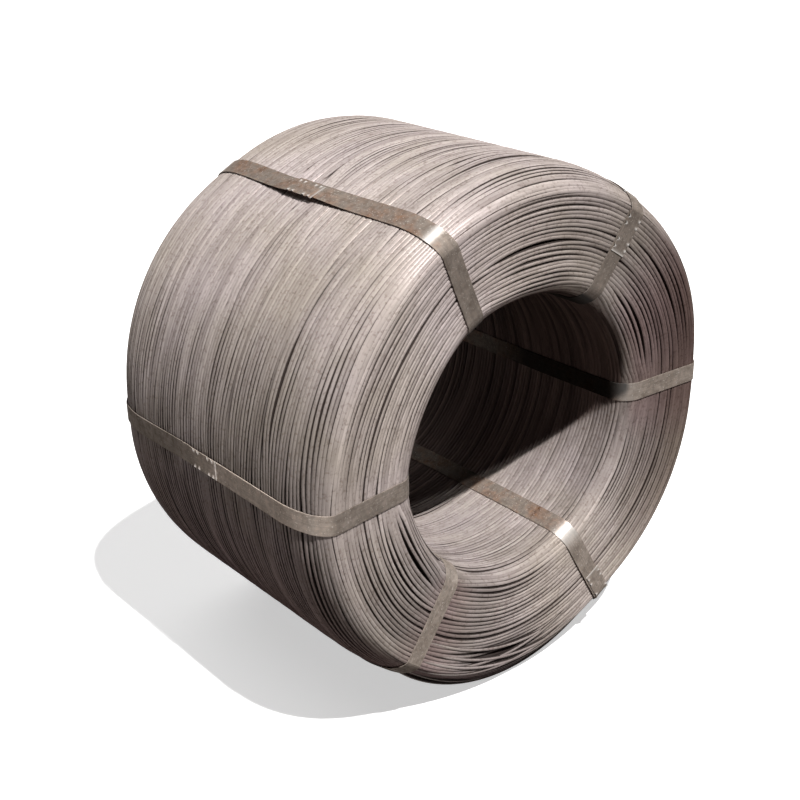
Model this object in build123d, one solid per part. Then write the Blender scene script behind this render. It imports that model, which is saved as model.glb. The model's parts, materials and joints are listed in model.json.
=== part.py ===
# Coil of drawn steel wire, lying on its side, bound by six flat steel straps.
# The wire is wound in nested layers on a drum that is then taken out, which leaves the bore.
# Each strap goes once round the wall of the coil, through the bore, and its ends lap and are punched.
# Millimetres. +Z is up, the coil's axis lies along Y, and the face that shows its turns best looks along -Y.
# The origin is on the floor, under the middle of the coil.
import math
import os

from build123d import *

# The wound coil
outer_diameter = 510.0
bore_diameter = 270.0
rim_width = 334.0  # between the two ends, where they stand out most
wire_diameter = 4.0

# How an end is rounded, from the outside of the coil to its bore
shoulder_length = 53.0  # along the axis, of the quarter ellipse from the outside to the rim
shoulder_height = 23.0  # in radius, of the same
shoulder_steps = 4  # flats round it, each over a few turns
end_dish = 6.0  # how far the bore's mouth lies behind the rim
mouth_radius = 22.0
mouth_steps = 3
layers_in_ridge = 3  # layers whose ends form one ridge, between two grooves of the end
groove_depth = 3.0  # how far the turns at a ridge's foot stand back behind the next ridge's crest
groove_draft = 1.0  # in radius, from that crest down to the foot

# Where a turn has sunk between its neighbours, and left a groove round the outside
sunk_turn_shares = [-0.74, -0.4, -0.09, 0.3, 0.76]  # of half the even outside, from its middle to the front
sunk_turn_width = 3.0
sunk_turn_depth = 3.4

# The straps
strap_width = 19.0
strap_thickness = 0.5
strap_clearance = 0.05  # between a strap and the outermost turns
strap_angles = [-28.0, 32.0, 88.0, 152.0, -141.0, -91.0]  # from the top of the coil, towards +X

# The laps, where each strap's two ends lie on each other and are punched together
lap_length = 40.0
lap_starts = [-34.0, 190.0, 10.0, 127.0, -50.0, -20.0]  # along the strap, from the outside's middle forwards
notch_length = 3.0
notch_depth = 2.5
notch_count = 2  # along each edge of a lap
lap_frame_depth = 12.0  # how far into the wall a lap's outline is drawn, to cut the lap out of the band
cut_overrun = 2.0

# Sizes that follow
outer_radius = outer_diameter / 2
bore_radius = bore_diameter / 2
half_rim = rim_width / 2
half_outside = half_rim - shoulder_length
half_mouth = half_rim - end_dish
wall_height = outer_radius - bore_radius
rim_radius = outer_radius - shoulder_height
mouth_edge_radius = bore_radius + mouth_radius
face_height = rim_radius - mouth_edge_radius
layer_pitch = wire_diameter * math.sin(math.radians(60))  # nested layers lie closer than a wire's diameter
ridge_count = round(face_height / (layers_in_ridge * layer_pitch))


def quarter(centre, radii, steps, start_angle, end_angle):
    """Points on a quarter of an ellipse, evenly spaced in angle: X along the coil's axis, Y its radius."""
    points = []
    for step in range(steps + 1):
        turn = math.radians(start_angle + (end_angle - start_angle) * step / steps)
        points.append((centre[0] + radii[0] * math.cos(turn), centre[1] + radii[1] * math.sin(turn)))
    return points


def shoulder_points():
    """From the end of the coil's even outside, over its shoulder, to the rim."""
    centre = (half_outside, rim_radius)
    return quarter(centre, (shoulder_length, shoulder_height), shoulder_steps, 90, 0)


def mouth_points():
    """From the edge of the end, round the bore's mouth, to the bore."""
    centre = (half_mouth - mouth_radius, mouth_edge_radius)
    return quarter(centre, (mouth_radius, mouth_radius), mouth_steps, 0, -90)


def ridge_points():
    """Down the end from its rim to the bore's mouth: each ridge rises from its foot, under the last crest."""
    crests = []
    for ridge in range(ridge_count + 1):
        share = ridge / ridge_count
        crests.append((half_rim - end_dish * share, rim_radius - face_height * share))
    points = []
    for crest, next_crest in zip(crests, crests[1:]):
        points.append((crest[0] - groove_depth, crest[1] - groove_draft))
        points.append(next_crest)
    return points[:-1]


def sunk_turn_points():
    """Along the even outside from back to front: down to each sunk turn, and up again beside it."""
    points = []
    for share in sunk_turn_shares:
        middle = half_outside * share
        points.append((middle - sunk_turn_width / 2, outer_radius))
        points.append((middle, outer_radius - sunk_turn_depth))
        points.append((middle + sunk_turn_width / 2, outer_radius))
    return points


def turned_section(front_points, outside_points):
    """Closed section of the wall, the same on both ends, from the points of its front and of its outside."""
    back_points = [(-along, radius) for along, radius in reversed(front_points)]
    return make_face(Polyline(*front_points, *back_points, *outside_points, close=True))


def wound_coil():
    """The wound wire as one turned body: ridges a few layers high on its ends, grooves round its outside."""
    section = turned_section(shoulder_points() + ridge_points() + mouth_points(), sunk_turn_points())
    return revolve(section, Axis.X, 360)


envelope_points = shoulder_points() + mouth_points()
envelope = turned_section(envelope_points, [])
front = Polyline((0, outer_radius), *envelope_points, (0, bore_radius))


def band(inner, outer):
    """Ring between two offsets of the wall's section: the path of a flat strap round the wall."""
    return offset(envelope, outer, kind=Kind.INTERSECTION) - offset(envelope, inner, kind=Kind.INTERSECTION)


def strip(section):
    """A band's section turned a little about the coil's axis and trimmed to the strap's width."""
    sweep_angle = 2 * math.degrees(math.asin(strap_width / bore_radius))
    turned = revolve(Rot(-sweep_angle / 2, 0, 0) * section, Axis.X, sweep_angle)
    reach = rim_width + outer_diameter
    return turned & Box(reach, reach, strap_width)


def on_outline(distance):
    """Point of the section's outline, and the way out from it, at a distance from the outside's middle."""
    point = front.position_at(abs(distance), PositionMode.LENGTH)
    along = front.tangent_at(abs(distance), PositionMode.LENGTH)
    outward = Vector(-along.Y, along.X)
    if distance < 0:
        return Vector(-point.X, point.Y), Vector(-outward.X, outward.Y)
    return point, outward


def lap_frame(start):
    """Four-sided outline round the stretch of the section under a lap, between lines square to the strap."""
    near, near_out = on_outline(start)
    far, far_out = on_outline(start + lap_length)
    points = [
        near - near_out * lap_frame_depth,
        near + near_out * wall_height,
        far + far_out * wall_height,
        far - far_out * lap_frame_depth,
    ]
    return make_face(Polyline(*points, close=True))


def lap_notches(start):
    """Notches punched into both edges of a lap, through both of its layers, which lock its ends together."""
    spacing = lap_length / (notch_count + 1)
    notch = Box(notch_length, lap_frame_depth, notch_depth + cut_overrun)
    pieces = []
    for index in range(notch_count):
        point, outward = on_outline(start + (index + 1) * spacing)
        for side in (-1, 1):
            edge = side * (strap_width + cut_overrun - notch_depth) / 2
            place = Plane(point + Vector(0, 0, edge), x_dir=(outward.Y, -outward.X, 0), z_dir=(0, 0, 1))
            pieces.append(place * notch)
    return pieces


def strap(lap_start):
    """One strap: a closed band round the wall, the second layer of its lap, and the notches that lock it."""
    first_top = strap_clearance + strap_thickness
    loop = strip(band(strap_clearance, first_top))
    lap = strip(band(first_top, first_top + strap_thickness) & lap_frame(lap_start))
    body = loop + lap
    for notch in lap_notches(lap_start):
        body = body - notch
    return body


def lay_down(shape):
    """Turns the coil's axis from X to Y, with the front towards -Y, and rests the coil on the floor."""
    return Pos(0, 0, outer_radius) * Rot(0, 0, -90) * shape


os.makedirs("parts", exist_ok=True)
export_step(lay_down(wound_coil()), "parts/wire_coil.step")
for number, (angle, lap_start) in enumerate(zip(strap_angles, lap_starts), start=1):
    piece = Rot(90 - angle, 0, 0) * strap(lap_start)
    export_step(lay_down(piece), f"parts/strap_{number}.step")
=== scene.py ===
# Coil of drawn steel wire, lying on its side and bound by six flat steel straps. Metres, +Z up.
import json
import math

import bpy
import numpy as np
from mathutils import Matrix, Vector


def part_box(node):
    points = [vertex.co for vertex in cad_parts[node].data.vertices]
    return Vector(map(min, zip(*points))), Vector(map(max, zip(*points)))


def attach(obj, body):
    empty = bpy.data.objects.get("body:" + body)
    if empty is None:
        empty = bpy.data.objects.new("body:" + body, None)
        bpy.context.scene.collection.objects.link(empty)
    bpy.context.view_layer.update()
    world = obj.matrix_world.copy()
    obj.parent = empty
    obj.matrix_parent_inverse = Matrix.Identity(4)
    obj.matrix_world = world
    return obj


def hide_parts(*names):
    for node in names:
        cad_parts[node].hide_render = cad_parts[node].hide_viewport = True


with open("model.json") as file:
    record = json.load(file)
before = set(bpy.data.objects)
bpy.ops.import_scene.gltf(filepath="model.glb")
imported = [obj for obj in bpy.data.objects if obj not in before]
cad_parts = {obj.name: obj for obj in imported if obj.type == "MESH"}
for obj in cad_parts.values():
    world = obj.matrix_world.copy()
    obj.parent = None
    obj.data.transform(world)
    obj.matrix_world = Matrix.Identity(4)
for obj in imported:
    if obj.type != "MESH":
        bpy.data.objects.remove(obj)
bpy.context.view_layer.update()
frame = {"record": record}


# The wall of the coil
# Wire is wound in layers on a drum that is then taken out. Cut through its axis, the wall that is left has an
# even outside, a shoulder at each end, slightly dished ends, and a bore with a rounded mouth.
# Everything on the coil follows this outline.
millimetre = 0.001
coil_low, coil_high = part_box("wire_coil")
outer_radius = (coil_high.x - coil_low.x) / 2
half_rim = (coil_high.y - coil_low.y) / 2
bore_radius = frame["record"]["mounts"][0]["dims"]["r_mm"] * millimetre
axis_height = (coil_high.z + coil_low.z) / 2
shoulder_length = 53 * millimetre
shoulder_height = 23 * millimetre
end_dish = 6 * millimetre
mouth_radius = 22 * millimetre
outline_points = 400
quarter_turn = math.pi / 2
full_turn = 2 * math.pi


def quarter_ellipse(centre, reach, start, end):
    """Points on a quarter of an ellipse: the centre plus each reach times the angle's cosine or sine."""
    angle = np.linspace(start, end, outline_points)
    return centre[0] + reach[0] * np.cos(angle), centre[1] + reach[1] * np.sin(angle)


def wall_outline():
    """Outline of the wall, from the middle of the bore over the front end and back over the far end.

    The front half is the bore's line, a quarter circle at its mouth, the dished end's line, a quarter ellipse
    at the shoulder and the outside's line. The back half is its mirror image. Returns the distance along the
    outline, the place along the axis (positive to the front) and the radius of each point."""
    half_mouth = half_rim - end_dish
    mouth_centre = (half_mouth - mouth_radius, bore_radius + mouth_radius)
    shoulder_centre = (half_rim - shoulder_length, outer_radius - shoulder_height)
    mouth = quarter_ellipse(mouth_centre, (mouth_radius, mouth_radius), -quarter_turn, 0)
    shoulder = quarter_ellipse(shoulder_centre, (shoulder_length, shoulder_height), 0, quarter_turn)
    along = np.concatenate([[0], mouth[0], shoulder[0], [0]])
    radius = np.concatenate([[bore_radius], mouth[1], shoulder[1], [outer_radius]])
    along = np.concatenate([along, -along[-2::-1]])
    radius = np.concatenate([radius, radius[-2::-1]])
    distance = np.concatenate([[0], np.cumsum(np.hypot(np.diff(along), np.diff(radius)))])
    return distance, along, radius


outline_distance, outline_along, outline_radius = wall_outline()
outline_length = outline_distance[-1]
fine_distance = np.linspace(0, outline_length, 8 * outline_points)
fine_along = np.interp(fine_distance, outline_distance, outline_along)
fine_radius = np.interp(fine_distance, outline_distance, outline_radius)
fine_out_along = np.gradient(fine_radius, fine_distance)
fine_out_radius = -np.gradient(fine_along, fine_distance)


def on_outline(distance):
    """Place, radius and outward direction at distances along the outline, which closes on itself.

    The outward direction is the outline's own direction turned by a quarter: (its rise, minus its run)."""
    wrapped = np.mod(distance, outline_length)
    tables = (fine_along, fine_radius, fine_out_along, fine_out_radius)
    return [np.interp(wrapped, fine_distance, table) for table in tables]


def in_space(angle, along, radius):
    """A point at an angle from the top towards +X, a place along the axis and a radius, as x, y and z."""
    return np.stack(np.broadcast_arrays(radius * np.sin(angle), -along, radius * np.cos(angle)), axis=-1)


# How the straps shape the winding
# Six straps are drawn tight round the wall. Under them the turns are pulled in and lie close together.
# Between them the turns stand out a little, and gaps open where some have sprung away from the rest.
strap_width = 19 * millimetre
strap_angles = np.radians([-91, -28, 32, 88, 152, 219])
pinch_reach = strap_width / 2 + 2.5 * millimetre
pull_outside = 2.2 * millimetre
pull_ends = 2.4 * millimetre
pull_bore = 1.2 * millimetre


def swell(angle, radius):
    """How far a place lies between two straps, 0 beside one, 1 midway: the sine of its share of the way."""
    marks = np.concatenate([strap_angles, [strap_angles[0] + full_turn]])
    turned = np.mod(angle - marks[0], full_turn) + marks[0]
    following = np.clip(np.searchsorted(marks, turned, side="right"), 1, len(marks) - 1)
    behind = turned - marks[following - 1]
    ahead = marks[following] - turned
    nearest = np.minimum(behind, ahead) * radius
    halfway = (behind + ahead) * radius / 2
    share = np.clip((nearest - pinch_reach) / (halfway - pinch_reach), 0, 1)
    return np.sin(share * quarter_turn)


def pull(out_along, out_radius):
    """How far a strap pulls the wall in, by the way the wall faces: out, to an end or into the bore."""
    outside = pull_outside * np.maximum(out_radius, 0)
    bore = pull_bore * np.maximum(-out_radius, 0)
    return outside + bore + pull_ends * np.abs(out_along)


# The wire
# One steel wire, 4 mm thick, drawn bright and since dulled, wound in about 34 nested layers. Its outermost
# turns are made as one endless run over the outside, down an end, through the bore and up the other end.
# What shows between them is a second run that lies in their valleys.
wire_radius = 2 * millimetre
pressed_wide = 1.8 * millimetre  # what a flat turn's radius gains, so that its valleys are shallow
layer_step = 3.4 * millimetre
turns_in_block = 12
floor_clearance = 0.2 * millimetre
wobble_reach = 0.08 * millimetre
drift_reach = 0.8 * millimetre
level_spread = 0.2 * millimetre
gap_seen_from = 0.3 * millimetre
gap_seen_over = 0.7 * millimetre
shade_start = 0.8 * millimetre
shade_end = 1.9 * millimetre
brown_start = 120 * millimetre
brown_end = 210 * millimetre
pitting_depth = 0.3 * millimetre
# The bore is painted dark behind the edge of its sunlit wedge: painted shade on the wire and the straps.
bore_shade_start = 15 * millimetre
bore_shade_slope = 152 * millimetre
bore_shade_fade = 10 * millimetre
bore_shade_lip = 10.5 * millimetre
bore_shade_lip_fade = 2.5 * millimetre
bore_shade_end = -20 * millimetre
bore_shade_end_fade = 70 * millimetre
closed_shade = 0.3
open_shade = 2.5
half_outside = half_rim - shoulder_length
random_source = np.random.default_rng(7)

# The widest gaps: on the front end by their radius, outside by their place from the middle to the front.
# Outside, some turns have sunk into the layer below, at these shares of half the even outside.
end_gap_radii = np.array([165.5, 172.5, 177.5, 184, 190.5, 198, 203, 211, 218, 224, 231]) * millimetre
outside_gaps = np.array([108.5, 74.5, 52.5, 22, 6, -24, -60, -108]) * millimetre
sunk_turn_shares = np.array([-0.74, -0.4, -0.09, 0.3, 0.76])
front_half = fine_distance < outline_length / 2
end_gap_places = np.interp(end_gap_radii, fine_radius[front_half], fine_distance[front_half])
outside_gap_places = outline_length / 2 - outside_gaps
sunk_turn_places = outline_length / 2 - half_outside * sunk_turn_shares

# Where turns hang out at the foot of the front shoulder, and lie back above it
foot_hang = 6 * millimetre
foot_place = 147 * millimetre
foot_lie_back = 3.4 * millimetre
foot_upper_place = 186 * millimetre
foot_reach = 15 * millimetre
foot_angle = math.radians(187)
foot_angle_reach = math.radians(15)

# How pale the wire is painted, by the angle from the top: partly its tone, partly painted light and shade.
# The front end is dull above the right strap and bright at the left, and the outside is painted darker
# towards the floor, where shade falls.
tone_angles = np.radians([0, 60, 95, 140, 180, 215, 270, 305, 360])
end_tone_and_painted_light = np.array([1.28, 0.56, 0.62, 1.26, 1.12, 0.6, 1.36, 1.36, 1.28])
outside_tone_and_painted_light = np.array([1.06, 1.0, 0.9, 0.78, 0.5, 0.4, 0.78, 1.12, 1.06])

# How much the painted shade in the valleys between turns shows, by the same angles: strongest low on the
# left, faint above it
end_lines = np.array([1.8, 1.8, 1.8, 1.4, 1.7, 1.9, 1.8, 1.6, 1.8])
outside_lines = np.array([1.8, 1.3, 0.9, 0.8, 1.6, 3.6, 2.6, 0.3, 1.8])

# How flat the turns lie, by the same angles: low on the left they are round, and each one casts its own shade
flat_shares = np.array([0.85, 0.8, 0.75, 0.8, 0.45, 0.08, 0.35, 1.1, 0.85])


def wandering(turns, samples, first_wave, last_wave):
    """A smooth random curve for each turn, of spread 1: a sum of whole waves of random size and phase."""
    angle = np.arange(samples) * full_turn / samples
    waves = np.arange(first_wave, last_wave + 1)
    phase = random_source.uniform(0, full_turn, (turns, len(waves), 1))
    size = random_source.normal(0, 1, (turns, len(waves), 1)) / np.sqrt(len(waves) / 2)
    return (size * np.cos(waves[:, None] * angle + phase)).sum(axis=1)


def shared_drift(distance, angle, reach):
    """A slow drift that neighbours share: waves round the coil whose phase turns along the outline."""
    drift = np.zeros(np.broadcast(distance, angle).shape)
    for waves in (1, 2, 3, 5, 7):
        phase = random_source.uniform(0, full_turn)
        size = random_source.normal(0, 1)
        bend = round(random_source.uniform(-6, 6)) * full_turn / outline_length
        drift += size * np.cos(waves * angle + bend * distance + phase) / waves
    return reach * drift


def fill_blocks(slots, weight, spacing, block):
    """Widens the slots of each block of turns until they fill it: slot plus weight times what is left over.

    What is left over is the block's length, less its slots, shared out by the weights of its turns."""
    turns = slots.shape[0]
    starts = np.arange(0, turns, block)
    sizes = np.diff(np.append(starts, turns))
    left_over = sizes[:, None] * spacing - np.add.reduceat(slots, starts, axis=0)
    shared = left_over / np.add.reduceat(weight, starts, axis=0)
    return slots + weight * np.repeat(shared, sizes, axis=0)


def bell(value, middle, reach):
    """A bell curve: one at the middle, falling off by the square of the distance counted in reaches."""
    return np.exp(-((value - middle) / reach) ** 2)


def sprung_foot(distance, angle):
    """How far turns hang out at the shoulder's foot, less how far they lie back above it: two bells."""
    from_middle = outline_length / 2 - distance
    turned = np.mod(angle, full_turn)
    hangs = foot_hang * bell(from_middle, foot_place, foot_reach)
    lies_back = foot_lie_back * bell(from_middle, foot_upper_place, foot_reach)
    return (hangs - lies_back) * bell(turned, foot_angle, foot_angle_reach)


def lay_turns(base_depth, slot, spacing, samples, sinking_share, gap_places, sunk_places):
    """Places of all turns of one run: for each turn and angle its distance along the outline and its depth.

    Beside a strap all turns lie in one layer. Between straps some sink under their neighbours and give up
    most of their slots: a slot is the full slot times one minus the turn's share of sinking. What is left
    over opens as gaps beside some turns, at the given places and others, by smooth random curves. How open
    a gap looks, which sets its painted shade, follows its width or, where the turns lie close, a random
    crevice of painted shade alone."""
    turns = int(outline_length / spacing)
    spacing = outline_length / turns
    angle = (np.arange(samples) * full_turn / samples)[None, :]
    even = (np.arange(turns) * spacing)[:, None]
    along, radius, out_along, out_radius = on_outline(even)
    lobe = swell(angle, radius)
    on_end = np.abs(out_along)
    sinks = random_source.uniform(0, 1, (turns, 1)) < sinking_share * on_end
    sinks[1:] &= ~sinks[:-1]
    sinks[(sunk_places / spacing).astype(int)] = True
    sunk = np.clip(1.6 * lobe * (0.7 + 0.5 * wandering(turns, samples, 1, 4)), 0, 1) * sinks
    sunk = sunk * sunk * (3 - 2 * sunk)
    known = (even > gap_places.min(initial=outline_length)) & (even < gap_places.max(initial=0))
    parted = random_source.uniform(0, 1, (turns, 1)) < (0.5 + 0.26 * on_end) * (1 - 0.85 * known * on_end)
    parted[np.round(gap_places / spacing).astype(int) - 1] = True
    beside_sunk = 0.8 * sunk + 0.5 * np.roll(sunk, -1, axis=0) * (1 - sunk)
    always = 0.05 + 0.3 * (1 - on_end)
    by_end = np.interp(angle, tone_angles, end_lines)
    by_outside = np.interp(angle, tone_angles, outside_lines)
    lines = by_end * on_end + by_outside * (1 - on_end)
    open_share = np.minimum(lines, 1) * np.exp((0.35 + 0.15 * on_end) * wandering(turns, samples, 1, 4))
    gaps = (always + parted * open_share) * (1 - beside_sunk)
    even_gap = random_source.uniform(0.1, 1, (turns, 1)) ** 2
    lap_over = random_source.uniform(0.84, 1.0, (turns, 1))
    lap_over = lap_over + 0.03 * wandering(turns, samples, 1, 3) - 0.07 * on_end
    slots = slot * lap_over * (1 - 0.9 * sunk)
    width = fill_blocks(slots, (1 - lobe) * even_gap + lobe * gaps, spacing, turns_in_block)
    laid = np.concatenate([np.zeros((1, samples)), np.cumsum(width, axis=0)])[:-1]
    wobble = wobble_reach * wandering(turns, samples, 9, 22)
    place = laid + wobble + shared_drift(even, angle, drift_reach)
    uneven = np.maximum(wandering(turns, samples, 1, 6), 0)
    level = level_spread * np.abs(random_source.normal(0, 1, (turns, 1)))
    depth = base_depth + level + lobe * (0.25 + 0.15 * on_end) * millimetre * uneven
    opened = lobe * np.clip((width - slots - gap_seen_from) / gap_seen_over, 0, 1)
    crevice = random_source.uniform(0, 1, (turns, 1)) ** 2 + 0.3 * wandering(turns, samples, 3, 12)
    opened = np.maximum(opened * np.minimum(lines, 1.4), np.clip(crevice * lines, 0, 0.9 * lines))
    return place, depth + layer_step * (1 - 0.35 * on_end) * sunk, opened


def run_of_wire(place, depth, opened):
    """Joins the turns into one run: each point slides from its own turn to the next as the angle goes round.

    Returns the centres, the outward and crosswise directions, the distance run, the depth, the thickness and
    how open the gap is before and after, from 0 to 1, turn by turn."""
    turns, samples = place.shape
    share = np.arange(samples) / samples
    angle = share * full_turn
    following = np.concatenate([place[1:], place[:1] + outline_length])
    deeper = np.concatenate([depth[1:], depth[:1]])
    place = place * (1 - share) + following * share
    depth = depth * (1 - share) + deeper * share
    open_after = opened * (1 - share) + np.roll(opened, -1, axis=0) * share
    open_before = np.roll(open_after, 1, axis=0)
    along, radius, out_along, out_radius = on_outline(place)
    lobe = swell(angle, radius)
    level_share = np.maximum(np.maximum(-out_radius, 0), 0.35 * out_along ** 2)
    by_angle = np.interp(angle, tone_angles, flat_shares)
    flat = pressed_wide * (by_angle + (1 - by_angle) * level_share)
    thick = wire_radius + flat * (1 + (0.5 - 0.8 * lobe) * np.abs(out_along))
    sprung = lobe * sprung_foot(place, angle)
    sunk = thick + depth + pull(out_along, out_radius) * (1 - lobe) - sprung
    depth = depth + 0.45 * np.maximum(-sprung, 0)
    along = along - out_along * sunk
    radius = radius - out_radius * sunk
    centres = in_space(angle, along, radius) + np.array([0, 0, axis_height])
    centres[..., 2] = np.maximum(centres[..., 2], coil_low.z + thick + floor_clearance)
    outward = in_space(angle, out_along, out_radius)
    crosswise = in_space(angle, -out_radius, out_along)
    run = np.cumsum((radius * full_turn / samples).ravel()).reshape(radius.shape)
    return centres, outward, crosswise, run, depth, thick, np.stack([open_before, open_after], axis=-1)


def tube(name, centres, outward, crosswise, thick, turn):
    """A closed tube: each ring is its centre plus its thickness times (cosine out + sine across)."""
    rings = len(centres)
    sides = len(turn)
    turn = turn[None, :, None]
    ring_shape = np.cos(turn) * outward[:, None] + np.sin(turn) * crosswise[:, None]
    points = centres[:, None] + thick[:, None, None] * ring_shape
    ring = np.arange(rings - 1)[:, None] * sides
    side = np.arange(sides)[None, :]
    beside = (side + 1) % sides
    quads = np.stack([ring + side, ring + sides + side, ring + sides + beside, ring + beside], axis=-1)
    corners = np.concatenate([quads.ravel(), np.arange(sides), (rings - 1) * sides + np.arange(sides)[::-1]])
    sizes = np.concatenate([np.full(quads.size // 4, 4), [sides, sides]])
    starts = np.concatenate([[0], np.cumsum(sizes)[:-1]])
    mesh = bpy.data.meshes.new(name)
    mesh.vertices.add(rings * sides)
    mesh.vertices.foreach_set("co", points.astype(np.float32).ravel())
    mesh.loops.add(len(corners))
    mesh.loops.foreach_set("vertex_index", corners.astype(np.int32))
    mesh.polygons.add(len(sizes))
    mesh.polygons.foreach_set("loop_start", starts.astype(np.int32))
    mesh.polygons.foreach_set("use_smooth", np.ones(len(sizes), bool))
    mesh.update(calc_edges=True)
    mesh.validate()
    piece = bpy.data.objects.new(name, mesh)
    bpy.context.scene.collection.objects.link(piece)
    return piece


def give_vector(piece, name, values):
    """Stores three numbers for each point of a piece's mesh under a name that its material reads."""
    attribute = piece.data.attributes.new(name, "FLOAT_VECTOR", "POINT")
    attribute.data.foreach_set("vector", values.astype(np.float32).ravel())


def give_way(piece, way, thick, opened, turn):
    """Stores the way along a wire and how deep a point seems: depth plus thickness times (1 - cosine).

    The second term counts less where the neighbour is close and more where the gap beside it is open."""
    # How deep a point seems sets the painted shade in the valleys and gaps between turns.
    beside = opened[:, :1] * np.maximum(-np.sin(turn), 0) + opened[:, 1:] * np.maximum(np.sin(turn), 0)
    below_crest = (1 - np.cos(turn)) * thick[:, None] * (closed_shade + open_shade * beside)
    spread = np.repeat(way[:, None, :], len(turn), axis=1)
    spread[..., 1] += below_crest
    give_vector(piece, "way", spread.reshape(-1, 3))


class Nodes:
    """Builds a material's nodes: each call adds a node, links or sets its inputs, and returns it."""

    def __init__(self, name):
        """A new material with one Principled surface."""
        self.material = bpy.data.materials.new(name)
        self.material.use_nodes = True
        self.tree = self.material.node_tree
        self.tree.nodes.clear()
        self.surface = self.tree.nodes.new("ShaderNodeBsdfPrincipled")
        output = self.tree.nodes.new("ShaderNodeOutputMaterial")
        self.tree.links.new(self.surface.outputs[0], output.inputs[0])

    def add(self, kind, settings=(), **inputs):
        """A node of a kind, with its settings, and with its inputs set or linked by name."""
        node = self.tree.nodes.new("ShaderNode" + kind)
        for name, value in dict(settings).items():
            setattr(node, name, value)
        for name, value in inputs.items():
            self.put(node, name.replace("_", " "), value)
        return node

    def put(self, node, socket, value):
        """Links an input to another node's output, or sets it to a number or a colour."""
        target = node.inputs[int(socket)] if socket.isdigit() else node.inputs[socket]
        if isinstance(value, bpy.types.NodeSocket):
            self.tree.links.new(value, target)
        else:
            target.default_value = value

    def attribute(self, name):
        """The three numbers that the mesh holds under a name."""
        return self.add("Attribute", {"attribute_name": name}).outputs["Vector"]

    def split(self, vector):
        """The X, Y and Z of three numbers."""
        return self.add("SeparateXYZ", Vector=vector).outputs

    def ramp(self, factor, stops):
        """A colour that runs from stop to stop as the factor grows."""
        node = self.add("ValToRGB", Fac=factor)
        for number, (place, colour) in enumerate(stops):
            element = node.color_ramp.elements[number] if number < 2 else node.color_ramp.elements.new(place)
            element.position = place
            element.color = (*colour, 1)
        return node.outputs["Color"]

    def mix(self, factor, first, second, blend="MIX"):
        """The second colour over the first, by a factor."""
        node = self.add("Mix", {"data_type": "RGBA", "blend_type": blend})
        self.put(node, "0", factor)
        self.put(node, "6", first)
        self.put(node, "7", second)
        return node.outputs[2]


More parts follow.
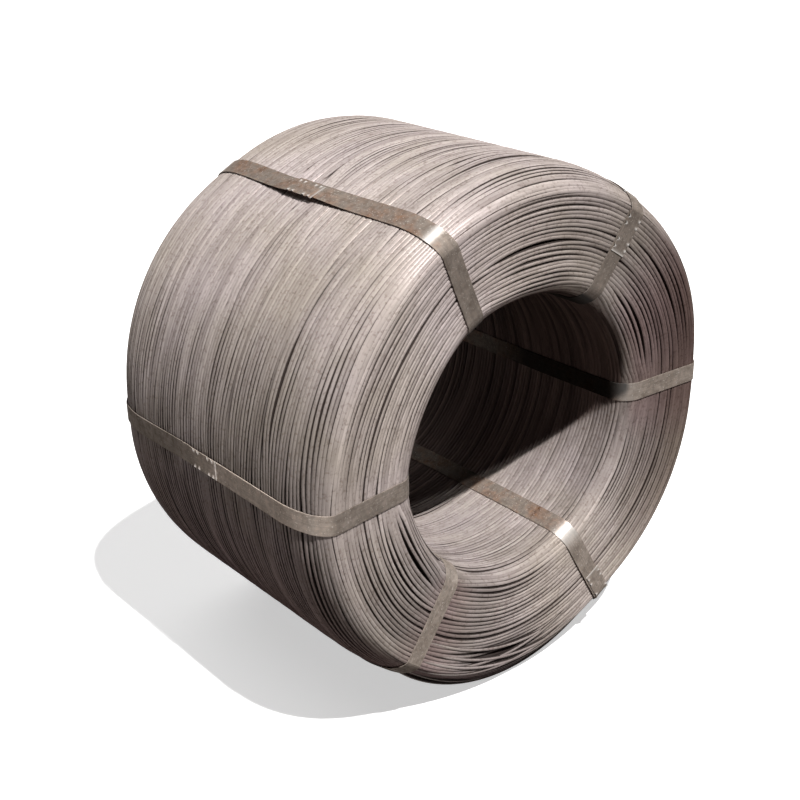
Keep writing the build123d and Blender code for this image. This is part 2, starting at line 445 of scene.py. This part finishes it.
def drawn_wire(name, brightness):
    """Dull drawn steel: pinkish grey, streaked along the wire, olive in patches, painted shade where deep."""
    nodes = Nodes(name)
    way = nodes.attribute("way")
    painted_light_and_tone = nodes.split(nodes.attribute("painted_light_and_tone"))
    place = nodes.add("TexCoord").outputs["Object"]
    turn_way = nodes.add("Mapping", Vector=way, Scale=(1.6, 0, 3.7)).outputs[0]
    turn_tone = nodes.add("TexNoise", Vector=turn_way, Scale=1.0, Detail=1.0).outputs["Fac"]
    streak_way = nodes.add("Mapping", Vector=way, Scale=(26, 0, 41)).outputs[0]
    streak = nodes.add("TexNoise", Vector=streak_way, Scale=1.0, Detail=3.0).outputs["Fac"]
    patch = nodes.add("TexNoise", Vector=place, Scale=8.0, Detail=4.0, Roughness=0.6).outputs["Fac"]
    speck = nodes.add("TexNoise", Vector=place, Scale=300.0, Detail=2.0).outputs["Fac"]
    colour = nodes.ramp(turn_tone, [(0.3, (0.34, 0.298, 0.288)), (0.7, (0.53, 0.475, 0.46))])
    streaks = nodes.ramp(streak, [(0.3, (0.82, 0.81, 0.8)), (0.6, (1.04, 1.04, 1.04))])
    colour = nodes.mix(1.0, colour, streaks, "MULTIPLY")
    bloom = nodes.ramp(patch, [(0.35, (1.0, 0.98, 0.985)), (0.68, (0.88, 0.865, 0.79))])
    colour = nodes.mix(1.0, colour, bloom, "MULTIPLY")
    pitting = nodes.ramp(speck, [(0.3, (0.6, 0.56, 0.54)), (0.46, (1, 1, 1))])
    colour = nodes.mix(0.7, colour, pitting, "MULTIPLY")
    # Painted shade in the valleys and gaps between turns, by how deep a point seems.
    deep = nodes.split(way)["Y"]
    shade = nodes.add("MapRange", Value=deep, From_Min=shade_start, From_Max=shade_end, To_Max=0.93)
    colour = nodes.mix(shade.outputs[0], colour, (0.024, 0.017, 0.015, 1))
    side = nodes.split(place)["X"]
    browned = nodes.add("MapRange", Value=side, From_Min=brown_start, From_Max=brown_end).outputs[0]
    brown = nodes.ramp(patch, [(0.3, (0.44, 0.39, 0.36)), (0.7, (0.66, 0.61, 0.58))])
    brown = nodes.mix(browned, (1, 1, 1, 1), brown)
    colour = nodes.mix(1.0, colour, brown, "MULTIPLY")
    # Painted light and shade by angle, from the paleness tables.
    colour = nodes.mix(1.0, colour, painted_light_and_tone["Y"], "MULTIPLY")
    # Painted shade: where the paleness tables paint the wire darker, it is also tinted redder.
    shaded_share = nodes.add("MapRange", Value=painted_light_and_tone["Y"], From_Min=0.8, From_Max=0.4).outputs[0]
    painted_shade_tint = nodes.mix(shaded_share, (1, 1, 1, 1), (1.18, 0.9, 0.94, 1))
    colour = nodes.mix(1.0, colour, painted_shade_tint, "MULTIPLY")
    # Painted shade: the bore behind its sunlit wedge is painted a near black brown.
    bore_shade_share = nodes.add("Math", {"operation": "MULTIPLY"})
    nodes.put(bore_shade_share, "0", painted_light_and_tone["X"])
    nodes.put(bore_shade_share, "1", 0.96)
    bore_shade_colour = nodes.ramp(turn_tone, [(0.35, (0.03, 0.02, 0.018)), (0.65, (0.105, 0.073, 0.063))])
    colour = nodes.mix(bore_shade_share.outputs[0], colour, bore_shade_colour)
    colour = nodes.mix(1.0, colour, (brightness, brightness, brightness, 1), "MULTIPLY")
    rough = nodes.add("MapRange", Value=patch, To_Min=0.3, To_Max=0.42).outputs[0]
    bump = nodes.add("Bump", Height=speck, Strength=0.25, Distance=pitting_depth).outputs[0]
    nodes.put(nodes.surface, "Base Color", colour)
    nodes.put(nodes.surface, "Metallic", 0.09)
    nodes.put(nodes.surface, "Specular IOR Level", 0.0)
    nodes.put(nodes.surface, "Roughness", rough)
    nodes.put(nodes.surface, "Normal", bump)
    return nodes.material


def bore_painted_shade(centres):
    """Painted shade, 0 to 1: all of the bore but a sunlit wedge at its front, deepest at the floor.

    The share is a smooth ramp of how far a place lies behind the wedge's edge, which follows the height."""
    height = centres[..., 2] - axis_height
    reach = np.hypot(centres[..., 0], height)
    inside = np.clip((bore_radius + bore_shade_lip - reach) / bore_shade_lip_fade, 0, 1)
    edge = -half_rim + bore_shade_start - bore_shade_slope * height / reach
    share = np.clip((centres[..., 1] - edge) / bore_shade_fade, 0, 1)
    return inside * share * share * (3 - 2 * share)


def tone_and_painted_light(centres, outward):
    """How pale the wire is: one, plus what each table says by angle, times how far the wire faces its way."""
    # This paleness is partly the wire's own tone and partly painted light and shade.
    angle = np.mod(np.arctan2(centres[..., 0], centres[..., 2] - axis_height), full_turn)
    on_front = np.maximum(-outward[..., 1], 0)
    facing_out = outward[..., 0] * np.sin(angle) + outward[..., 2] * np.cos(angle)
    on_outside = np.maximum(facing_out, 0)
    by_end = np.interp(angle, tone_angles, end_tone_and_painted_light) - 1
    by_outside = np.interp(angle, tone_angles, outside_tone_and_painted_light) - 1
    return 1 + by_end * on_front ** 2 + by_outside * on_outside ** 2


def wind(name, laid, turn, material, parts):
    """Makes one run of wire as pieces, each a closed tube, that follow each other along the outline."""
    centres, outward, crosswise, run, depth, thick, opened = run_of_wire(*laid)
    turns, samples = run.shape
    number = np.broadcast_to(np.arange(turns)[:, None], run.shape)
    way = np.stack([run, depth, number + np.arange(samples) / samples], axis=-1)
    flat = [part.reshape(-1, 3) for part in (centres, outward, crosswise, way)]
    painted_light_and_tone = np.stack([bore_painted_shade(centres), tone_and_painted_light(centres, outward), 0 * run], axis=-1).reshape(-1, 3)
    thick = thick.ravel()
    opened = opened.reshape(-1, 2)
    cuts = [round(turns * share) * samples for share in parts.values()] + [turns * samples]
    for suffix, first, last in zip(parts, cuts, cuts[1:]):
        rows = np.arange(first, last + 1) % (turns * samples)
        piece = tube(name + "_" + suffix, flat[0][rows], flat[1][rows], flat[2][rows], thick[rows], turn)
        give_way(piece, flat[3][rows], thick[rows], opened[rows], turn)
        give_vector(piece, "painted_light_and_tone", np.repeat(painted_light_and_tone[rows], len(turn), axis=0))
        piece.data.materials.append(material)
        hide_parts("wire_coil")
        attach(piece, "root")


# Angles round a wire's section where its rings have points, closer together on the side that shows
top_ring = np.radians([0, 24, 50, 88, 180, 272, 310, 336])
lower_ring = np.radians([0, 40, 85, 180, 275, 320])
mouth_share = (half_rim - end_dish - mouth_radius) / outline_length
outside_share = 0.5 - half_outside / outline_length
run_parts = {"bore_front": 0.0, "front_end": mouth_share, "outside": outside_share,
             "back_end": 1 - outside_share, "bore_back": 1 - mouth_share}
gap_places = np.concatenate([end_gap_places, outside_gap_places])
top_depth = 0.12 * millimetre
top_slot = 3.55 * millimetre
top_spacing = 4.05 * millimetre
top_samples = 160
top_sinking = 0.04
top_turns = lay_turns(
    top_depth, top_slot, top_spacing, top_samples, top_sinking, gap_places, sunk_turn_places)
wind("wire", top_turns, top_ring, drawn_wire("drawn_wire", 1.0), run_parts)
no_places = np.array([])
lower_depth = 3.6 * millimetre
lower_slot = 4.0 * millimetre
lower_spacing = 4.3 * millimetre
lower_samples = 96
lower_sinking = 0.1
lower_turns = lay_turns(
    lower_depth, lower_slot, lower_spacing, lower_samples, lower_sinking, no_places, no_places)
# The second run is the same wire painted at less than half the brightness: painted shade.
wind("lower_wire", lower_turns, lower_ring, drawn_wire("shaded_wire", 0.45), {"front": 0.0, "back": 0.5})


# The loose turns
# At the foot of the front shoulder, between two straps, a few turns have sprung out of the layer. Each comes
# up from under its neighbours beside one strap, crosses over them and goes under again beside the next.
stray_samples = 90
stray_ring = np.radians([0, 30, 60, 95, 135, 180, 225, 265, 300, 330])
stray_margin = 0.06  # radians between a strap and the end of a loose turn
stray_dive = 5 * millimetre
stray_length = 280 * millimetre
stray_clearance = 0.3 * millimetre

# Where it starts and ends, from the middle of the outside to the front, and how far it stands out, in mm
stray_facts = [
    (200, 186, 0.0), (191, 173, 0.5), (176, 194, 0.2), (182, 168, 0.2), (168, 181, 0.4),
    (158, 148, 5.0), (150, 159, 5.6),
]


def stray_turn(first, last, stands_out, late):
    """A loose turn from strap 5 to strap 4: its place slides from first to last, and its height is a sine."""
    share = np.linspace(0, 1, stray_samples)
    angle = strap_angles[5] + stray_margin + share * (strap_angles[4] - strap_angles[5] - 2 * stray_margin)
    slide = share * share * (3 - 2 * share)
    distance = outline_length / 2 - (first + (last - first) * slide) * millimetre
    along, radius, out_along, out_radius = on_outline(distance)
    bow = np.sin(math.pi * share ** late)
    out = (stands_out * millimetre + stray_dive) * bow - stray_dive - wire_radius
    centres = in_space(angle, along + out_along * out, radius + out_radius * out)
    centres[:, 2] = np.maximum(centres[:, 2], wire_radius - axis_height + stray_clearance)
    centres[:, 1] = np.maximum(centres[:, 1], wire_radius - half_rim)
    centres = centres + np.array([0, 0, axis_height])
    outward = in_space(angle, out_along, out_radius)
    crosswise = in_space(angle, out_radius, -out_along)
    return centres, outward, crosswise, (share - 0.5) * stray_length


stray_material = drawn_wire("loose_wire", 0.86)
for number, (first, last, stands_out) in enumerate(stray_facts):
    centres, outward, crosswise, run = stray_turn(first, last, stands_out, 1 + 0.15 * (number % 3 - 1))
    thick = np.full(stray_samples, wire_radius)
    piece = tube("loose_turn_" + str(number + 1), centres, outward, crosswise, thick, stray_ring)
    way = np.stack([run, 0 * run, 0 * run + 300 + number], axis=-1)
    give_way(piece, way, thick, np.ones((stray_samples, 2)), stray_ring)
    give_vector(piece, "painted_light_and_tone", np.repeat([[0, 1, 0]], stray_samples * len(stray_ring), axis=0))
    piece.data.materials.append(stray_material)
    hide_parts("wire_coil")
    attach(piece, "root")


# The inside of the winding
# Only the two outermost layers can be seen; what lies under them is dark and out of reach, so a plain dark
# body stands for it.
core_depth = 8 * millimetre
core_turns = 96
core_rows = 120


def inner_body():
    """The wall's outline moved inwards and turned round the axis: radius and place follow its points."""
    angle = (np.arange(core_turns) * full_turn / core_turns)[:, None]
    distance = (np.arange(core_rows) * outline_length / core_rows)[None, :]
    along, radius, out_along, out_radius = on_outline(distance)
    sunk = core_depth + pull(out_along, out_radius)
    points = in_space(angle, along - out_along * sunk, radius - out_radius * sunk)
    points = (points + np.array([0, 0, axis_height])).reshape(-1, 3)
    row = np.arange(core_turns)[:, None] * core_rows
    following_row = (row + core_rows) % (core_turns * core_rows)
    column = np.arange(core_rows)[None, :]
    following = (column + 1) % core_rows
    corners = [row + column, following_row + column, following_row + following, row + following]
    quads = np.stack(corners, axis=-1)
    mesh = bpy.data.meshes.new("inner_layers")
    mesh.from_pydata(points.tolist(), [], quads.reshape(-1, 4).tolist())
    piece = bpy.data.objects.new("inner_layers", mesh)
    bpy.context.scene.collection.objects.link(piece)
    return piece


def dark_inside():
    """Wire that no light reaches: very dark brown, a little uneven."""
    nodes = Nodes("dark_inside")
    place = nodes.add("TexCoord").outputs["Object"]
    patch = nodes.add("TexNoise", Vector=place, Scale=60.0, Detail=2.0).outputs["Fac"]
    colour = nodes.ramp(patch, [(0.3, (0.012, 0.009, 0.008)), (0.7, (0.03, 0.024, 0.02))])
    nodes.put(nodes.surface, "Base Color", colour)
    nodes.put(nodes.surface, "Roughness", 0.9)
    return nodes.material


inner_layers = inner_body()
inner_layers.data.materials.append(dark_inside())
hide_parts("wire_coil")
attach(inner_layers, "root")


# The straps
# Six bands of cold-rolled steel, 19 mm wide, each drawn tight round the wall and through the bore, lapped
# by 40 mm and locked by punching both layers, which bends up small tabs along the edges of the lap.
# They are olive brown, and rusty where damp has lain on them.
strap_thickness = 0.6 * millimetre
strap_clearance = 0.15 * millimetre
lap_length = 40 * millimetre
lap_rise = 9 * millimetre
strap_step = 2.4 * millimetre
lap_step = 0.6 * millimetre
crease_place = 152 * millimetre
crease_reach = 4 * millimetre
crease_height = 0.4 * millimetre
slip_run = 70 * millimetre
lean_reach = 45 * millimetre
snake_reach = 0.7 * millimetre
snake_length = 260 * millimetre
cut_end_worn = 1.2 * millimetre
mouth_bend = outline_length / 2 - mouth_share * outline_length - 17 * millimetre
mouth_bend_reach = 11 * millimetre
notch_places = np.array([5, 12, 28, 35]) * millimetre
notch_reach = 2.2 * millimetre
notch_lift = 1.1 * millimetre
far_start = -20 * millimetre
far_run = 70 * millimetre
strap_pitting = 0.2 * millimetre
outer_across = np.array([-1.0, -0.985, -0.9, -0.6, -0.2, 0.2, 0.6, 0.9, 0.985, 1.0])
outer_height = np.array([0.55, 0.92, 1.0, 1.0, 1.0, 1.0, 1.0, 1.0, 0.92, 0.55])
inner_across = np.array([1.0, 0.9, 0.0, -0.9, -1.0])
inner_height = np.array([0.0, 0.0, 0.0, 0.0, 0.0])


def strap_rows():
    """Distances along the strap: even steps, and finer ones where its two ends lie on each other."""
    whole = outline_length + lap_length
    coarse = np.arange(0, whole, strap_step)
    beginning = np.arange(0, lap_length + 2 * lap_rise, lap_step)
    end = np.arange(outline_length - lap_rise, whole, lap_step)
    rows = np.unique(np.concatenate([coarse, beginning, end, [whole]]).round(7))
    keep = np.concatenate([[True], np.diff(rows) > lap_step / 2])
    return rows[keep]


def strap_surface(angle, lap_start, stand_off, side, slip, crest_glint, mouth_glint):
    """A closed band: its section is carried along the outline, once round and on over its own beginning.

    Height over the wires is the clearance, plus the thickness on the upper layer of the lap, plus a bump at
    the sharp bend, plus a lean that lifts one edge where the strap stands off, plus the tabs at the notches:
    a tent along the strap times a rise towards its edge. Returns the points, the way along the band, how
    worn it is, with a painted highlight at the bends, and how far it faces outwards."""
    rows = strap_rows()
    beginning = outline_length / 2 - (lap_start + lap_length)
    distance = beginning - rows + lap_length
    across = np.concatenate([outer_across, inner_across])
    height = np.concatenate([outer_height, inner_height])
    along, radius, out_along, out_radius = on_outline(distance)
    pulled = pull(out_along, out_radius)
    half_length = outline_length / 2
    from_middle = np.mod(half_length - distance + half_length, outline_length) - half_length
    upper = np.clip((rows - outline_length + lap_rise) / lap_rise, 0, 1)
    upper = upper * upper * (3 - 2 * upper)
    crease = bell(np.abs(from_middle), crease_place, crease_reach)
    lift = strap_clearance + upper * strap_thickness * 1.1 + crease_height * crease
    lean = stand_off * bell(from_middle, lap_start + lap_length / 2, lean_reach)
    in_lap = np.minimum(np.abs(rows[:, None] - outline_length - notch_places).min(axis=1), 1)
    tent = np.maximum(1 - in_lap / notch_reach, 0) * (rows > outline_length)
    edge = np.maximum((np.abs(across) - 0.72) / 0.28, 0)
    one_side = 0.5 + 0.5 * side * across
    rise = (lift + lean * 0.3)[:, None] + lean[:, None] * one_side + notch_lift * tent[:, None] * edge
    raised = rise + strap_thickness * height - pulled[:, None]
    slipped = np.clip((rows - outline_length + slip_run) / slip_run, 0, 1)
    snaking = snake_reach * np.sin(from_middle * full_turn / snake_length + angle * 3)
    wander = slip * slipped + snaking
    sideways = across * strap_width / 2 * (1 - 0.12 * tent[:, None]) + wander[:, None]
    reach = radius[:, None] + out_radius[:, None] * raised
    forward = along[:, None] + out_along[:, None] * raised
    heading = np.array([math.cos(angle), 0, -math.sin(angle)])
    points = in_space(angle, forward, reach) + sideways[..., None] * heading + np.array([0, 0, axis_height])
    way = np.stack(np.broadcast_arrays(rows[:, None], sideways, angle), axis=-1)
    end_worn = np.exp(-(outline_length + lap_length - rows) / cut_end_worn)
    # Pale bare metal at the bends: partly wear and partly a painted highlight; at cut ends and tabs it is
    # wear.
    bend_glint = crest_glint * crease + mouth_glint * bell(np.abs(from_middle), mouth_bend, mouth_bend_reach)
    wear_and_glint = np.maximum(bend_glint[:, None] + end_worn[:, None] * 0.7, tent[:, None] * edge)
    return points, way, wear_and_glint, out_radius[:, None] + 0 * wear_and_glint


def loft(name, points):
    """Joins rows of points into a closed skin: each row is a ring, and the first and last are capped."""
    rows, sides = points.shape[:2]
    ring = np.arange(rows - 1)[:, None] * sides
    side = np.arange(sides)[None, :]
    beside = (side + 1) % sides
    quads = np.stack([ring + side, ring + sides + side, ring + sides + beside, ring + beside], axis=-1)
    faces = quads.reshape(-1, 4).tolist()
    faces += [list(range(sides)), list(range((rows - 1) * sides, rows * sides))[::-1]]
    mesh = bpy.data.meshes.new(name)
    mesh.from_pydata(points.reshape(-1, 3).tolist(), [], faces)
    piece = bpy.data.objects.new(name, mesh)
    bpy.context.scene.collection.objects.link(piece)
    return piece


def banding_steel():
    """Banding steel: mottled olive and grey brown, rusty where marked, bare metal where worn, painted
    highlight at bends.
    """
    nodes = Nodes("banding_steel")
    place = nodes.add("TexCoord").outputs["Object"]
    look = nodes.split(nodes.attribute("look"))
    way = nodes.attribute("way")
    broad = nodes.add("TexNoise", Vector=place, Scale=55.0, Detail=5.0, Roughness=0.65).outputs["Fac"]
    fine = nodes.add("TexNoise", Vector=place, Scale=230.0, Detail=4.0).outputs["Fac"]
    dot = nodes.add("TexNoise", Vector=place, Scale=620.0, Detail=1.0).outputs["Fac"]
    along = nodes.add("Mapping", Vector=way, Scale=(20, 900, 1)).outputs[0]
    scratch = nodes.add("TexNoise", Vector=along, Scale=1.0, Detail=2.0).outputs["Fac"]
    steel = nodes.ramp(broad, [(0.36, (0.2, 0.17, 0.145)), (0.64, (0.285, 0.245, 0.213))])
    mottle = nodes.ramp(fine, [(0.36, (0.84, 0.81, 0.79)), (0.5, (1, 1, 1)), (0.64, (1.1, 1.07, 1.05))])
    steel = nodes.mix(1.0, steel, mottle, "MULTIPLY")
    streaks = nodes.ramp(scratch, [(0.35, (0.86, 0.86, 0.86)), (0.65, (1.08, 1.08, 1.08))])
    steel = nodes.mix(0.7, steel, streaks, "MULTIPLY")
    rust = nodes.ramp(fine, [(0.3, (0.07, 0.028, 0.013)), (0.7, (0.24, 0.11, 0.05))])
    marked = nodes.add("Math", {"operation": "ADD"})
    nodes.put(marked, "0", look["X"])
    nodes.put(marked, "1", broad)
    rusted = nodes.add("MapRange", Value=marked.outputs[0], From_Min=0.78, From_Max=1.12).outputs[0]
    colour = nodes.mix(rusted, steel, rust)
    dotted = nodes.add("MapRange", Value=dot, From_Min=0.66, From_Max=0.72, To_Max=0.7).outputs[0]
    colour = nodes.mix(dotted, colour, (0.46, 0.42, 0.38, 1))
    colour = nodes.mix(1.0, colour, look["Z"], "MULTIPLY")
    # Pale bare metal: wear at cut ends and tabs, and partly a painted highlight at the bends.
    colour = nodes.mix(look["Y"], colour, (0.78, 0.75, 0.72, 1))
    rough = nodes.add("MapRange", Value=look["Y"], To_Min=0.46, To_Max=0.32).outputs[0]
    bump = nodes.add("Bump", Height=fine, Strength=0.35, Distance=strap_pitting).outputs[0]
    nodes.put(nodes.surface, "Base Color", colour)
    metal = nodes.add("MapRange", Value=look["Y"], To_Min=0.08, To_Max=0.9).outputs[0]
    nodes.put(nodes.surface, "Metallic", metal)
    nodes.put(nodes.surface, "Specular IOR Level", 0.0)
    nodes.put(nodes.surface, "Roughness", rough)
    nodes.put(nodes.surface, "Normal", bump)
    return nodes.material


# Angle from the top, where the lap lies from the middle of the outside to the front, how far an edge stands
# off and which one, how far the upper layer slips aside, how much the bends over the shoulder and into the
# bore are worn to bare metal, which is partly a painted highlight, how rusty it is outside and in the bore,
# how pale outside, what share of that at the far end, and how pale elsewhere. The paleness is partly each
# strap's own tone and partly painted light: strap 6's outside, turned into shade, is painted much paler.
# Lengths are in millimetres.
strap_facts = [
    ("strap_1", -28, -34, 3.0, -1, -2.2, 0.7, 0.1, 0.36, 0.2, 1.04, 0.9, 1.0),
    ("strap_2", 32, 178, 0.5, 1, 1.4, 0.15, 0.06, 0.0, 0.1, 0.95, 1.0, 0.92),
    ("strap_3", 88, 10, 0.3, 1, 0.5, 0.15, 0.12, 0.1, 0.34, 1.1, 1.0, 1.2),
    ("strap_4", 152, 166, 0.6, 1, -1.6, 0.15, 0.5, 0.1, 0.36, 1.0, 1.0, 1.2),
    ("strap_5", 219, -50, 0.4, 1, 0.5, 0.1, 0.06, 0.0, 0.1, 1.15, 1.0, 1.28),
    ("strap_6", -91, -20, 0.4, 1, 0.8, 0.1, 0.06, 0.14, 0.1, 2.35, 0.5, 1.05),
]
strap_material = banding_steel()
for fact in strap_facts:
    strap_name, degrees, lap_start, stand_off, side, slip, crest_glint, mouth_glint = fact[:8]
    rust_outside, rust_bore, pale_outside, pale_far, pale = fact[8:]
    skin, way, wear_and_glint, facing = strap_surface(
        math.radians(degrees), lap_start * millimetre, stand_off * millimetre, side, slip * millimetre,
        crest_glint, mouth_glint)
    rusty = rust_outside * np.maximum(facing, 0) + rust_bore * np.maximum(-facing, 0)
    band = loft(strap_name + "_band", skin)
    give_vector(band, "way", way.reshape(-1, 3))
    # Painted shade in the bore, as on the wire, with less of it deep inside; the paleness is partly each
    # strap's own tone and partly painted light.
    deep = np.clip((skin[..., 1] - bore_shade_end) / bore_shade_end_fade, 0, 1)
    far = np.clip((skin[..., 1] - far_start) / far_run, 0, 1)
    outside = np.maximum(facing, 0)
    paleness = pale + (pale_outside * (1 + (pale_far - 1) * far) - pale) * outside
    paleness = paleness * (1 - bore_painted_shade(skin) * (0.93 - 0.42 * deep))
    give_vector(band, "look", np.stack([rusty, wear_and_glint, paleness], axis=-1).reshape(-1, 3))
    band.data.materials.append(strap_material)
    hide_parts(strap_name)
    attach(band, "root")


# The floor, the light and the camera
# A pale floor, a narrow bright sun high in front, a broad weak one high behind, and an even pale surround.
# The camera stands to the left of the front end and looks down on the coil.
floor_size = 14.0
lamp_distance = 3.0


def seen_directly(tree):
    """One for a camera, glossy or transmission ray and zero for the rest: the largest of three outputs."""
    path_kind = tree.nodes.new("ShaderNodeLightPath")
    total = path_kind.outputs["Is Camera Ray"]
    for ray in ("Is Glossy Ray", "Is Transmission Ray"):
        either = tree.nodes.new("ShaderNodeMath")
        either.operation = "MAXIMUM"
        tree.links.new(total, either.inputs[0])
        tree.links.new(path_kind.outputs[ray], either.inputs[1])
        total = either.outputs[0]
    return total


bpy.ops.mesh.primitive_plane_add(size=floor_size)
floor = bpy.context.object
floor.name = "floor"
floor_nodes = Nodes("pale_floor")
seen = seen_directly(floor_nodes.tree)
paleness = floor_nodes.mix(seen, (0.06, 0.05, 0.045, 1), (0.9, 0.9, 0.9, 1))
floor_nodes.put(floor_nodes.surface, "Base Color", paleness)
floor_nodes.put(floor_nodes.surface, "Roughness", 0.9)
glow = floor_nodes.add("Math", {"operation": "MULTIPLY"})
floor_nodes.put(glow, "0", floor_nodes.add("LightPath").outputs["Is Camera Ray"])
floor_nodes.put(glow, "1", 0.55)
floor_nodes.put(floor_nodes.surface, "Emission Color", (1, 1, 1, 1))
floor_nodes.put(floor_nodes.surface, "Emission Strength", glow.outputs[0])
floor.data.materials.append(floor_nodes.material)

surround = bpy.data.worlds.new("surround")
surround.use_nodes = True
sky = surround.node_tree
sky.nodes.clear()
sky_output = sky.nodes.new("ShaderNodeOutputWorld")
fill = sky.nodes.new("ShaderNodeBackground")
fill.inputs["Color"].default_value = (1.0, 0.8, 0.77, 1)
fill.inputs["Strength"].default_value = 0.022
shown = sky.nodes.new("ShaderNodeBackground")
shown.inputs["Color"].default_value = (1, 1, 1, 1)
shown.inputs["Strength"].default_value = 1.0
either = sky.nodes.new("ShaderNodeMixShader")
sky.links.new(seen_directly(sky), either.inputs[0])
sky.links.new(fill.outputs[0], either.inputs[1])
sky.links.new(shown.outputs[0], either.inputs[2])
sky.links.new(either.outputs[0], sky_output.inputs[0])
bpy.context.scene.world = surround

key_direction = np.array([-0.04, -0.45, 0.892])
key_strength = 4.5
key_width = math.radians(1.2)
coil_middle = np.array([0, 0, axis_height])
key_lamp = bpy.data.lights.new("key_lamp", "SUN")
key_lamp.energy = key_strength
key_lamp.angle = key_width
key_lamp.color = (1.0, 0.985, 0.975)
key = bpy.data.objects.new("key_lamp", key_lamp)
bpy.context.scene.collection.objects.link(key)
key_place = coil_middle + lamp_distance * key_direction


def aim(thing, place, forward, down):
    """Puts a lamp or camera at a place, looking along its own -Z: columns are right, up and backwards."""
    forward = np.array(forward) / np.linalg.norm(forward)
    right = np.cross(down, forward)
    right = right / np.linalg.norm(right)
    up = np.cross(right, forward)
    turned = [[right[row], up[row], -forward[row], place[row]] for row in range(3)] + [[0, 0, 0, 1]]
    thing.matrix_world = Matrix(turned)


aim(key, key_place, coil_middle - key_place, (0, 0, -1))

soft_direction = np.array([-0.1, 0.35, 0.93])
soft_strength = 0.7
soft_width = math.radians(50)
soft_lamp = bpy.data.lights.new("soft_lamp", "SUN")
soft_lamp.energy = soft_strength
soft_lamp.angle = soft_width
soft = bpy.data.objects.new("soft_lamp", soft_lamp)
bpy.context.scene.collection.objects.link(soft)
aim(soft, coil_middle + lamp_distance * soft_direction, -soft_direction, (0, -1, 0))

view_azimuth = math.radians(-40.4)
view_elevation = math.radians(23.8)
view_distance = 5.207 * outer_radius
view_offset_right = 0.067 * outer_radius
view_offset_down = -0.047 * outer_radius
focal_pixels = 1310
picture_pixels = 800
sensor_width = 36
level = math.cos(view_elevation)
view_forward = np.array([
    -math.sin(view_azimuth) * level, math.cos(view_azimuth) * level, -math.sin(view_elevation)])
view_right = np.array([math.cos(view_azimuth), math.sin(view_azimuth), 0])
view_down = np.cross(view_forward, view_right)
offset = view_offset_right * view_right + view_offset_down * view_down + view_distance * view_forward
camera_data = bpy.data.cameras.new("camera")
camera_data.sensor_width = sensor_width
camera_data.lens = focal_pixels * sensor_width / picture_pixels
camera = bpy.data.objects.new("camera", camera_data)
bpy.context.scene.collection.objects.link(camera)
aim(camera, coil_middle - offset, view_forward, view_down)
bpy.context.scene.camera = camera
bpy.context.scene.view_settings.view_transform = "Standard"
